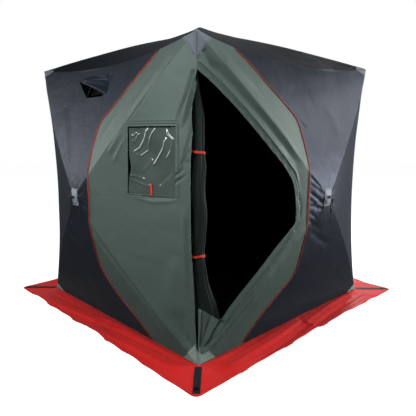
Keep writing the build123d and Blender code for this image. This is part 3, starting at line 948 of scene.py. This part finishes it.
# ---- Wall and roof cloth ----
def panel(name, wall, skin, slot, node_name, cell, keep=(), drop=()):
    """The cloth of a wall or a part of one, cut from a flat piece and lined in black."""
    sheet = flat_sheet(name, (-HALF, -HALF), (HALF, HALF), cell, keep, drop)
    lay_on(sheet, wall, wall.seams)
    give(sheet, skin, LINING)
    thicken(sheet, CLOTH, inner_slot=1)
    smooth(sheet)
    finish_piece(sheet, slot, node_name)


panel("roof_cloth", ROOF, SHADED_ROOF_CLOTH, "dark_fabric", "roof", ROOF_CELL)
panel("back_cloth", BACK, CHARCOAL, "dark_fabric", "back_wall", WIDE_CELL)
panel("left_cloth", LEFT, CHARCOAL, "dark_fabric", "left_wall", WIDE_CELL)
panel("front_cloth", FRONT, CHARCOAL, "dark_fabric", "front_wall", CELL, drop=[front_green, vent])
panel("right_cloth", RIGHT, CHARCOAL, "dark_fabric", "right_wall", CELL, drop=[right_green])
panel(
    "front_panel_cloth", FRONT, SAGE, "green_fabric", "front_panel", FINE_CELL, [front_green],
    [window, beyond_corner],
)
panel(
    "door_frame_cloth", RIGHT, SAGE, "green_fabric", "door_frame", FINE_CELL, [right_green],
    [doorway],
)


# ---- Patches, hems and borders laid on the walls ----
def sewn_on(name, wall, skin, outline, cell=PATCH_CELL, proud=PATCH, thickness=PATCH, drop=()):
    """A small piece of cloth sewn onto a wall, and its flat area."""
    xs, ys = zip(*outline)
    low = (max(min(xs) - cell, -HALF), max(min(ys) - cell, -HALF))
    high = (min(max(xs) + cell, HALF), min(max(ys) + cell, HALF))
    sheet = flat_sheet(name, low, high, cell, [outline], drop, diagonals=False)
    lay_on(sheet, wall, [stitch_line(outline)], proud)
    give(sheet, skin, LINING)
    area = face_area(sheet)
    thicken(sheet, thickness)
    smooth(sheet)
    return sheet, area


def patch_set(name, patches, slot, node_name):
    """Patches of one kind, cut from one cloth, as one piece."""
    whole = joined(name, [patch for patch, _ in patches])
    finish_piece(whole, slot, node_name)


CAP = [(0, 0), (130, 0), (52, 52), (0, 130)]
FEET = {  # by the side of the wall that they are on, because the two halves at a corner differ
    1: [(0, 0), (145, 0), (96, 30), (18, 122), (10, 84), (0, 78)],
    -1: [(0, 0), (140, 0), (62, 76), (18, 62), (0, 78)],
}
hub_patches = [sewn_on("hub_patch", wall, HUB_GREY, rectangle(*HUB_PATCH)) for wall in WALLS.values()]
hub_patches.append(sewn_on("hub_patch", ROOF, HUB_GREY, rectangle(*ROOF_PATCH)))
patch_set("hub_patch_cloth", hub_patches, "grey_patch", "hub_patches")

caps, feet = [], []
for wall in WALLS.values():
    for side in (-1, 1):
        caps.append(sewn_on("cap", wall, PATCH_GREY, at_corner(side, 1, CAP)))
        feet.append(sewn_on("foot", wall, FOOT_GREY, at_corner(side, -1, FEET[side])))
for side, end in ((-1, -1), (1, -1), (1, 1), (-1, 1)):
    caps.append(sewn_on("cap", ROOF, PATCH_GREY, at_corner(side, end, CAP)))
patch_set("corner_cap_cloth", caps, "grey_patch", "top_caps")
patch_set("foot_patch_cloth", feet, "grey_patch", "foot_patches")

# The doorway's hem is a folded band of the panel's own cloth, sewn down along its inner edge.
hem_band = [*door_edge, *reversed(shifted(door_edge, HEM))]
hem, hem_area = sewn_on("doorway_hem_cloth", RIGHT, SAGE, hem_band, 0.0045, proud=0.003, thickness=0.0025)
finish_piece(hem, "green_fabric", "door_binding")


# ---- Window: crumpled film behind a sewn border, with a red tape to pull its zip ----
FILM_RIDGES = [
    # short ones in the upper left corner
    (((416, 1322), (380, 1326), (352, 1330)), 0.0050, 0.0040),
    (((412, 1262), (388, 1252), (356, 1300)), 0.0045, 0.0045),
    (((414, 1296), (396, 1280), (372, 1306)), 0.0045, 0.0045),
    # long ones that hang from the upper edge
    (((300, 1332), (322, 1262), (352, 1216), (408, 1186)), 0.0070, 0.0050),
    (((254, 1330), (290, 1262), (300, 1200), (350, 1170), (404, 1184)), 0.0060, 0.0045),
    (((188, 1322), (180, 1290), (150, 1262), (162, 1200), (196, 1146)), 0.0060, 0.0045),
    (((190, 1276), (204, 1216), (236, 1164), (276, 1110)), 0.0075, 0.0055),
    # near the foot of the window
    (((432, 1062), (370, 1052), (330, 1040)), 0.0055, 0.0045),
    (((430, 1036), (350, 1012), (306, 1000), (300, 1024)), 0.0050, 0.0045),
    # broad soft ones
    (((150, 1180), (170, 1080), (250, 1000)), 0.0160, -0.0040),
    (((272, 1158), (346, 1072)), 0.0120, 0.0025),
]


def window_film():
    """Film that hangs a little behind the panel, with its left edge drawn in so that a dark gap shows."""
    behind, gap, lean, bulge, bulge_height, bulge_reach = 0.008, 0.002, 0.068, 0.013, 0.205, 0.05
    xs, ys = zip(*window)
    low, high = (min(xs) - 0.003, min(ys) - 0.010), (max(xs) + 0.012, max(ys) - 0.008)
    sheet = flat_sheet("window_film_sheet", low, high, FILM_CELL, diagonals=False)
    flat = read_points(sheet.data)[:, :2]
    drawn_in = gap + lean * (flat[:, 1] - low[1]) + bulge * bell(flat[:, 1], bulge_height, bulge_reach)
    flat[:, 0] += drawn_in * (high[0] - flat[:, 0]) / (high[0] - low[0])
    ridges = creases(on_front, [(*row, 0.6, (0.15, 0.15)) for row in FILM_RIDGES])
    keep_flat_map(sheet.data)
    places = stretched(UNFOLDED_FRONT, flat, -behind)
    write_points(sheet.data, places + np.outer(sum(ridge(flat) for ridge in ridges), FRONT.out))
    give(sheet, FILM)
    thicken(sheet, 0.0006)
    smooth(sheet, 70)
    return sheet


film = window_film()
finish_piece(film, "clear_film", "window_film")

border_outline = on_front((110, 934), (110, 1352), (438, 1354), (466, 936))
border, border_area = sewn_on(
    "window_border_cloth", FRONT, SAGE, border_outline, proud=0.0012, thickness=0.0012, drop=[window]
)
finish_piece(border, "green_fabric", "window_rim")

tape_outline = on_front((278, 948), (277, 1014), (291, 1013), (290, 946))
tape, _ = sewn_on("window_pull_tape", FRONT, RED_TAPE, tape_outline, cell=0.003, proud=0.004)
finish_piece(tape, "red_webbing", "window_tab")


# ---- Piping ----
def piping(name, wall, line, node_name):
    """A red cord sewn into the seam between the panel and the wall, from the eave to the foot."""
    side_clear, end_clear = 0.010, 0.006
    inside = [(x, y) for x, y in line if abs(x) < HALF - side_clear and abs(y) < HALF - end_clear]
    piece = curve_through(name, stretched(wall, np.array(inside), 0.001), PIPE / 2, steps=3, roundness=3)
    made_mesh(piece)
    smooth(piece)
    give(piece, PIPING)
    finish_piece(piece, "red_piping", node_name)


piping("front_piping_cord", FRONT, front_line, "front_piping")
piping("right_piping_cord", RIGHT, right_line, "right_piping")

# ---- Vent hood: one piece of cloth, held open at its outer corner ----
HOOD_TIP = place_on(FRONT, *on_front((1040, 1642))[0], HALF + 0.1)
HOOD_FOOT = on_front(
    (1040, 1562), (1045, 1620), (1052, 1668), (1012, 1712), (950, 1726), (880, 1712), (832, 1676),
    (800, 1616), (792, 1566)
)


def hood_cloth():
    """Cloth drawn from the hood's foot on the wall to the tip that holds it open."""
    sheet, run, lift = unit_grid("vent_hood_cloth", 64, 22)
    line = np.array(softened(HOOD_FOOT, 3))
    steps = np.concatenate([[0], np.cumsum(np.hypot(*np.diff(line, axis=0).T))])
    foot_flat = np.stack([np.interp(run * steps[-1], steps, line[:, axis]) for axis in (0, 1)], 1)
    foot = stretched(FRONT, foot_flat, 0.002)
    belly = 0.020 * np.sin(np.pi * lift) * np.sin(np.pi * run)
    pleats = 0.006 * np.sin(2 * np.pi * 5.5 * run) * smooth_step(0.45, 0.75, run)  # toward its right end
    pleats *= np.sin(np.pi * np.clip(lift * 1.2, 0, 1))
    lifted = lift * (0.97 - 0.05 * np.sin(np.pi * run))  # the cloth stops just short of the tip
    places = foot + (HOOD_TIP - foot) * lifted[:, None]
    write_points(sheet.data, places + np.outer(belly + pleats, FRONT.out * 0.8 + FRONT.up * 0.6))
    shape_in_edit_mode(sheet, partial(bpy.ops.mesh.remove_doubles, threshold=0.0008))
    give(sheet, CHARCOAL, LINING)
    return sheet


def turn_outward(piece, face, outward):
    """Turns a piece's faces over if the given one looks inward."""
    if face.normal.dot(outward) < 0:
        piece.data.flip_normals()


hood = hood_cloth()
turn_outward(hood, max(hood.data.polygons, key=lambda face: face.center.z), Vector((0, 0, 1)))
thicken(hood, 0.002, inner_slot=1)
smooth(hood)
finish_piece(hood, "dark_fabric", "vent_hood")

# ---- Rolled door, hanging in the doorway's upright side ----
ROLL_TOP, ROLL_FOOT = 1.610, 0.230
UPPER_TIE, LOWER_TIE = 1.195, 0.610
ROLL_SECTIONS = np.array([
    # height, distance in from the corner, half width, half depth, and its shift toward the doorway
    (0.230, 0.066, 0.086, 0.030, 0.036),
    (0.345, 0.066, 0.074, 0.032, 0.026),
    (0.450, 0.066, 0.058, 0.032, 0.012),
    (0.560, 0.066, 0.043, 0.032, -0.001),
    (0.610, 0.066, 0.037, 0.030, -0.004),
    (0.700, 0.072, 0.045, 0.038, -0.001),
    (0.900, 0.074, 0.048, 0.042, 0.002),
    (1.100, 0.072, 0.046, 0.040, 0.003),
    (1.195, 0.068, 0.038, 0.031, 0.001),
    (1.250, 0.066, 0.039, 0.032, 0.002),
    (1.380, 0.058, 0.034, 0.026, 0.001),
    (1.500, 0.046, 0.024, 0.018, 0.001),
    (1.610, 0.030, 0.012, 0.010, 0.000),
])


def roll_section(height):
    """The roll's distance in from the corner, half width, half depth and shift at a height."""
    return (np.interp(height, ROLL_SECTIONS[:, 0], ROLL_SECTIONS[:, column]) for column in (1, 2, 3, 4))


def from_corner(height, inward, sideways, z):
    """Places by their distance in from the door corner's drawn-in edge, and to the doorway's side."""
    y = np.clip(height - HALF, -HALF + 0.001, HALF - 0.001)
    corner = stretched(FRONT, np.stack([np.full(len(y), HALF), y], 1))[:, 0]
    x = corner - (inward - sideways) / math.sqrt(2)
    y = -corner + (inward + sideways) / math.sqrt(2)
    return np.stack([x, y, z], 1)


def rolled_cloth():
    """The door rolled up on itself, loose between its ties and fuller at its foot."""
    roll, round_share, height_share = unit_grid("rolled_door_cloth", 150, 130)
    turns, tightening = 1.06, 0.10  # how often the sheet goes round, and how much a turn draws in
    body, fold_depth = 0.86, 0.0935  # as shares of the section
    pressed = 0.55  # the share of a fold that the ties press flat
    turn = 2 * math.pi * turns * round_share
    height = ROLL_FOOT + height_share * (ROLL_TOP - ROLL_FOOT)
    inset, wide, deep, shift = roll_section(height)
    held = bell(height, UPPER_TIE, 0.035) + bell(height, LOWER_TIE, 0.035)
    twist = 2.4 * np.sin(height * 3.1)
    folds = (
        np.cos(7 * turn + twist)
        + 0.55 * np.cos(12 * turn - 5 * height + 1.0)
        + 0.35 * np.cos(3 * turn + 9 * height)
    )
    radius = body + fold_depth * (1 - pressed * held) * folds
    spiral = 1 - tightening * turn / (2 * math.pi)
    slump = 0.004 * np.sin(height * 11.0) + 0.003 * np.sin(height * 23.0 + 1.0)
    inward = inset - deep * radius * spiral * np.cos(turn)
    sideways = shift + slump + wide * radius * spiral * np.sin(turn)
    z = height + 0.004 * np.sin(turn * 2 + height * 9)
    write_points(roll.data, from_corner(height, inward, sideways, z))
    shape_in_edit_mode(roll)
    give(roll, SHADED_DOOR_SAGE, LINING)
    return roll


roll = rolled_cloth()
middle_face = roll.data.polygons[len(roll.data.polygons) // 2]
roll_axis = Vector((0.81, -0.81, middle_face.center.z))
turn_outward(roll, middle_face, middle_face.center - roll_axis)
thicken(roll, 0.0015, inner_slot=1)
smooth(roll, 60)
finish_piece(roll, "door_fabric", "rolled_door")


def tie_band(height, tilt):
    """A red tape round the roll, and the toggle that its loop holds."""
    inset, wide, deep, shift = roll_section(height)
    strip, strips, half_tape, clear = 0.0045, 3, 0.007, 0.002
    band = tape_ring(64, 1.0, strip, strips)
    points = read_points(band.data)
    turn = np.arctan2(points[:, 1], points[:, 0])
    uneven = 1.0 + 0.03 * np.cos(5 * turn + height * 7)
    inward = inset - points[:, 0] * (deep + clear) * uneven
    sideways = shift + points[:, 1] * (wide + clear) * uneven
    wave = 0.0012 * np.sin(3 * turn)
    z = height - half_tape + points[:, 2] - tilt * points[:, 1] + wave
    write_points(band.data, from_corner(np.full(len(points), height), inward, sideways, z))
    thicken(band, 0.0018, offset=1.0)
    toggle_radius, toggle_length, hangs = 0.0042, 0.026, 0.006
    leaning = Euler((math.radians(80), 0.3, 0.4)).to_matrix().to_4x4()
    nothing_selected()
    bpy.ops.mesh.primitive_cylinder_add(vertices=16, radius=toggle_radius, depth=toggle_length)
    toggle = bpy.context.object
    modified(toggle, "round_ends", "BEVEL", width=0.0016, segments=3)
    level = np.array([height])
    place = from_corner(level, inset - 0.5 * deep, shift + 0.9 * wide, level - hangs)[0]
    put(toggle, Matrix.Translation(place) @ leaning)
    return [band, toggle]


ties = joined("red_tie_tapes", [*tie_band(UPPER_TIE, 0.006), *tie_band(LOWER_TIE, -0.003)])
smooth(ties)
give(ties, RED_TAPE)
finish_piece(ties, "red_webbing", "door_toggles")


# ---- Snow skirt and straps ----
def skirt_height(x, y):
    """The height of the loosely laid skirt: flat at the walls and at the pegs, wavy at its hem."""
    away = (np.maximum(np.abs(x), np.abs(y)) - HALF) / SKIRT_WIDTH
    side = np.where(np.abs(x) > np.abs(y), y * np.sign(x), -x * np.sign(y))
    long_fold = np.sin(side / 0.21 + 9 * away + np.sign(x) + 2 * np.sign(y))
    streak = np.sin(side / 0.075 + 26 * away + 1.4 * np.sin(side / 0.19))
    broad = np.sin(side / 0.16 + 1.0) * smooth_step(0.55, 1.0, away)
    corner = smooth_step(0.74, 0.9, np.minimum(np.abs(x), np.abs(y)))
    loose = smooth_step(0.0, 0.22, away) * (1 - corner)
    return 0.0034 + loose * (0.0110 + 0.0050 * long_fold + 0.0016 * streak + 0.0036 * broad)


def turned(point, quarter):
    """A point in plan, turned by a number of right angles."""
    for _ in range(quarter):
        point = (-point[1], point[0])
    return point


def skirt_hem():
    """The skirt's outer edge, slightly wavy, with rounded corners."""
    points = []
    out = SKIRT_OUT + 0.005
    straight, centre = SKIRT_OUT - SKIRT_ROUND, out - SKIRT_ROUND  # half the straight side; a corner's middle
    for quarter in range(4):
        for step in np.linspace(-straight, straight, 60):
            wave = 0.004 * math.sin(step * 14 + quarter) + 0.003 * math.sin(step * 31 + 2 * quarter)
            points.append(turned((out + wave * (1 - (step / straight) ** 4), step), quarter))
        for turn in np.linspace(0, math.pi / 2, 8)[1:-1]:
            rounded = (centre + SKIRT_ROUND * math.cos(turn), centre + SKIRT_ROUND * math.sin(turn))
            points.append(turned(rounded, quarter))
    return points


def skirt_stitches(quarter, inset=0.018):
    """The line of stitches along one side of the skirt's hem."""
    return [turned((SKIRT_OUT - inset, end * (SKIRT_OUT - 0.02)), quarter) for end in (-1, 1)]


skirt_inner = rectangle(HALF - 0.002, HALF - 0.002)
blank = SKIRT_OUT + 0.014  # half the side of the cloth that the skirt is cut from
skirt = flat_sheet(
    "laid_snow_skirt", (-blank, -blank), (blank, blank), SKIRT_CELL, [skirt_hem()], [skirt_inner]
)
keep_flat_map(skirt.data, [skirt_stitches(quarter) for quarter in range(4)])
laid = read_points(skirt.data)
laid[:, 2] = skirt_height(laid[:, 0], laid[:, 1])
write_points(skirt.data, laid)
give(skirt, RED)
thicken(skirt, 0.0025)
smooth(skirt)
finish_piece(skirt, "red_fabric", "snow_skirt")


def corner_strap(quarter):
    """Webbing sewn over a corner of the skirt, from the foot of the wall to the eyelet."""
    clear, proud = 0.012, 0.0018  # of the wall and the hem, and above the skirt
    start, end = (HALF + clear) * math.sqrt(2), (SKIRT_OUT - clear) * math.sqrt(2) - clear
    strap, run, width_share = unit_grid("strap", 48, 10)
    along = start + run * (end - start)
    across = (width_share - 0.5) * STRAP_WIDTH
    turn = math.pi / 4 + quarter * math.pi / 2
    x = along * math.cos(turn) - across * math.sin(turn)
    y = along * math.sin(turn) + across * math.cos(turn)
    write_points(strap.data, np.stack([x, y, skirt_height(x, y) + proud], 1))
    give(strap, STRAP)
    return strap


straps = joined("black_corner_straps", [corner_strap(quarter) for quarter in range(4)])
thicken(straps, 0.0016)
smooth(straps)
finish_piece(straps, "black_webbing", "skirt_straps")

# ---- Finishes of the frame's own hard pieces ----
finishes = {"vent_mesh": MESH, "hubs": NYLON, "corner_sockets": NYLON, "skirt_eyelets": EYELET}
finishes.update({f"{face}_poles": ROD for face in (*WALLS, "roof")})
for name, material in finishes.items():
    give(frame["nodes"][name], material)


# ---- Floor, light and background ----
def floor_material():
    """A pale floor that shows white and keeps the hut's soft shadow; inside the hut it is painted near black,
    as painted shade.
    """
    material, add = empty_material("studio_floor")
    seen = add("LightPath").outputs["Is Camera Ray"]
    place = add("SeparateXYZ", {0: add("TexCoord").outputs["Object"]}).outputs
    beyond = []
    for axis in ("X", "Y"):
        size = add("Math", {0: place[axis]}, operation="ABSOLUTE").outputs[0]
        beyond.append(add("Math", {0: size, 1: HALF + 0.010}, operation="GREATER_THAN").outputs[0])
    outside = add("Math", {0: beyond[0], 1: beyond[1]}, operation="MAXIMUM").outputs[0]
    # the first grey is painted shade: the floor inside the hut, near black for every ray; the second is the
    # floor outside as all but camera rays see it
    greys = ("#0a0a0a", "#0e0e0e", "#b0b0b0")
    painted_shade_inside, dim, pale = (add("BsdfDiffuse", {"Color": linear(grey)}).outputs[0] for grey in greys)
    white = add("Emission", {"Color": (1, 1, 1, 1), "Strength": 0.97}).outputs[0]
    shown = add("AddShader", {0: pale, 1: white}).outputs[0]
    open_floor = add("MixShader", {0: seen, 1: dim, 2: shown}).outputs[0]
    whole = add("MixShader", {0: outside, 1: painted_shade_inside, 2: open_floor}).outputs[0]
    add("OutputMaterial", {"Surface": whole})
    return material


def world():
    """White behind the hut. For everything else, a bright horizon that fades overhead and below."""
    made = bpy.data.worlds.new("studio")
    bpy.context.scene.world = made
    made.use_nodes = True
    made.node_tree.nodes.clear()
    add = partial(node, made)
    rays = add("LightPath").outputs
    height = add("SeparateXYZ", {0: add("TexCoord").outputs["Generated"]}).outputs["Z"]
    ramp = add("ValToRGB", {"Fac": height})
    ramp.color_ramp.interpolation = "EASE"
    elements = ramp.color_ramp.elements
    stops = ((0.0, 0.05), (0.05, 0.8), (0.24, 1.0), (0.50, 0.28), (0.75, 0.1))  # height and brightness
    cool = (0.92, 0.98, 1.08)
    while len(elements) < len(stops):
        elements.new(0.5)
    for element, (position, value) in zip(elements, stops):
        element.position = position
        element.color = (*(value * part for part in cool), 1)
    band = add("Background", {"Color": ramp.outputs["Color"], "Strength": 0.15}).outputs[0]
    white = add("Background", {"Color": (1, 1, 1, 1), "Strength": 1.0}).outputs[0]
    seen = add("Math", {0: rays["Is Camera Ray"], 1: rays["Is Transmission Ray"]}, operation="MAXIMUM")
    mixed = add("MixShader", {0: seen.outputs[0], 1: band, 2: white}).outputs[0]
    add("OutputWorld", {"Surface": mixed})


def lamp(name, place, target, size, power, mirrored=True):
    """A square softbox at a place, turned to its target. A lamp that isn't mirrored leaves no gloss."""
    data = bpy.data.lights.new(name, "AREA")
    data.shape = "SQUARE"
    data.size = size
    data.energy = power
    made = bpy.data.objects.new(name, data)
    made.location = place
    made.visible_glossy = mirrored
    made.visible_camera = False
    made.rotation_euler = (Vector(target) - Vector(place)).to_track_quat("-Z", "Y").to_euler()
    bpy.context.collection.objects.link(made)


nothing_selected()
bpy.ops.mesh.primitive_plane_add(size=40, location=(0, 0, -0.0005))
floor = bpy.context.object
floor.name = "floor"
bpy.ops.object.transform_apply(location=True)
give(floor, floor_material())
world()
HUT_MIDDLE = (0.0, 0.0, 0.95)
lamp("right_softbox", (4.9, 4.6, 1.3), HUT_MIDDLE, 2.2, 400)
lamp("left_softbox", (-4.5, -4.8, 3.3), HUT_MIDDLE, 3.0, 125)
lamp("low_left_softbox", (-6.2, -4.1, 2.0), (0.0, -1.1, 1.1), 1.6, 45)
lamp("over_door_corner", (2.5, -1.6, 3.3), HUT_MIDDLE, 1.0, 48)
lamp("over_far_corner", (-2.7, 2.5, 6.8), HUT_MIDDLE, 3.0, 126)
lamp("near_front", (1.0, -2.78, 1.68), (0.1, 0.0, 1.0), 0.9, 30)
lamp("near_left", (-2.0, -2.1, 1.5), HUT_MIDDLE, 1.0, 10, mirrored=False)
lamp("near_right", (1.9, 2.2, 2.4), HUT_MIDDLE, 1.0, 20)
lamp("near_back", (-0.1, 2.9, 2.4), HUT_MIDDLE, 1.0, 60)
